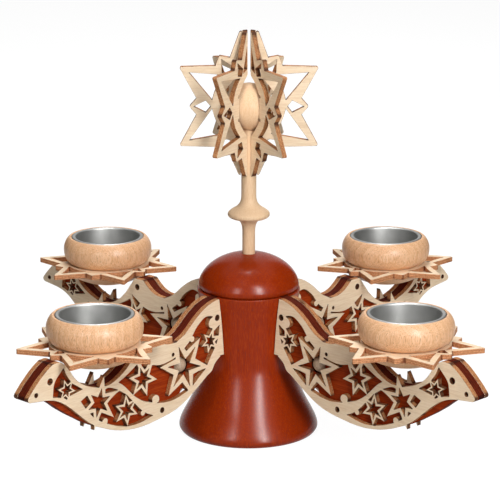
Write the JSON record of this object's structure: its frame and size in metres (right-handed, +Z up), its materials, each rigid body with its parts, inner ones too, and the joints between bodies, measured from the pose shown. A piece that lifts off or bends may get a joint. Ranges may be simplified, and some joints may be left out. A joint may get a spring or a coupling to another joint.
{
  "type": "advent candle holder",
  "caption": "Turned wooden bell with four fretwork arms carrying tealight cups on pierced stars, and a plywood star finial on a turned stem.",
  "frame": {"origin": "on the table, under the middle of the bell", "axes": "+Z up along the bell's axis, the arms on the diagonals between X and Y, -Y towards the viewer"},
  "size_m": [0.2628, 0.2628, 0.2427],
  "materials": {
    "stained_wood": "red-brown stain, satin lacquer",
    "birch_ply": "natural, sanded, edges browned by the cut",
    "beech": "natural, turned and sanded",
    "stained_core": "red-brown stain, matt",
    "pressed_metal": "satin"
  },
  "bodies": {
    "stand": {"bell_body": "stained_wood", "front_left_arm_front_panel": "birch_ply", "front_left_arm_back_panel": "birch_ply", "front_left_arm_core": "stained_core", "front_left_arm_bead": "beech", "front_left_dome": "beech", "front_left_drip_star": "birch_ply", "front_left_cup": "beech", "front_left_cup_dowel": "beech", "front_right_arm_front_panel": "birch_ply", "front_right_arm_back_panel": "birch_ply", "front_right_arm_core": "stained_core", "front_right_arm_bead": "beech", "front_right_dome": "beech", "front_right_drip_star": "birch_ply", "front_right_cup": "beech", "front_right_cup_dowel": "beech", "back_left_arm_front_panel": "birch_ply", "back_left_arm_back_panel": "birch_ply", "back_left_arm_core": "stained_core", "back_left_arm_bead": "beech", "back_left_dome": "beech", "back_left_drip_star": "birch_ply", "back_left_cup": "beech", "back_left_cup_dowel": "beech", "back_right_arm_front_panel": "birch_ply", "back_right_arm_back_panel": "birch_ply", "back_right_arm_core": "stained_core", "back_right_arm_bead": "beech", "back_right_dome": "beech", "back_right_drip_star": "birch_ply", "back_right_cup": "beech", "back_right_cup_dowel": "beech"},
    "cap": {"bell_cap": "stained_wood", "cap_dowel": "beech"},
    "finial": {"star_stem": "beech", "star_ball": "beech", "star_blade_1": "birch_ply", "star_blade_2": "birch_ply", "star_blade_3": "birch_ply", "star_blade_4": "birch_ply", "star_blade_5": "birch_ply", "star_blade_6": "birch_ply"},
    "front_left_holder": {"front_left_tealight_holder": "pressed_metal"},
    "front_right_holder": {"front_right_tealight_holder": "pressed_metal"},
    "back_left_holder": {"back_left_tealight_holder": "pressed_metal"},
    "back_right_holder": {"back_right_tealight_holder": "pressed_metal"}
  },
  "joints": [
    {"name": "cap_lift", "type": "slide", "parent": "stand", "child": "cap", "axis": [0, 0, 1], "range_m": [0, 0.04]},
    {"name": "finial_turn", "type": "hinge", "parent": "cap", "child": "finial", "pos_m": [0, 0, 0.12], "axis": [0, 0, 1], "continuous": true},
    {"name": "front_left_holder_lift", "type": "slide", "parent": "stand", "child": "front_left_holder", "axis": [0, 0, 1], "range_m": [0, 0.025]},
    {"name": "front_right_holder_lift", "type": "slide", "parent": "stand", "child": "front_right_holder", "axis": [0, 0, 1], "range_m": [0, 0.025]},
    {"name": "back_left_holder_lift", "type": "slide", "parent": "stand", "child": "back_left_holder", "axis": [0, 0, 1], "range_m": [0, 0.025]},
    {"name": "back_right_holder_lift", "type": "slide", "parent": "stand", "child": "back_right_holder", "axis": [0, 0, 1], "range_m": [0, 0.025]}
  ]
}
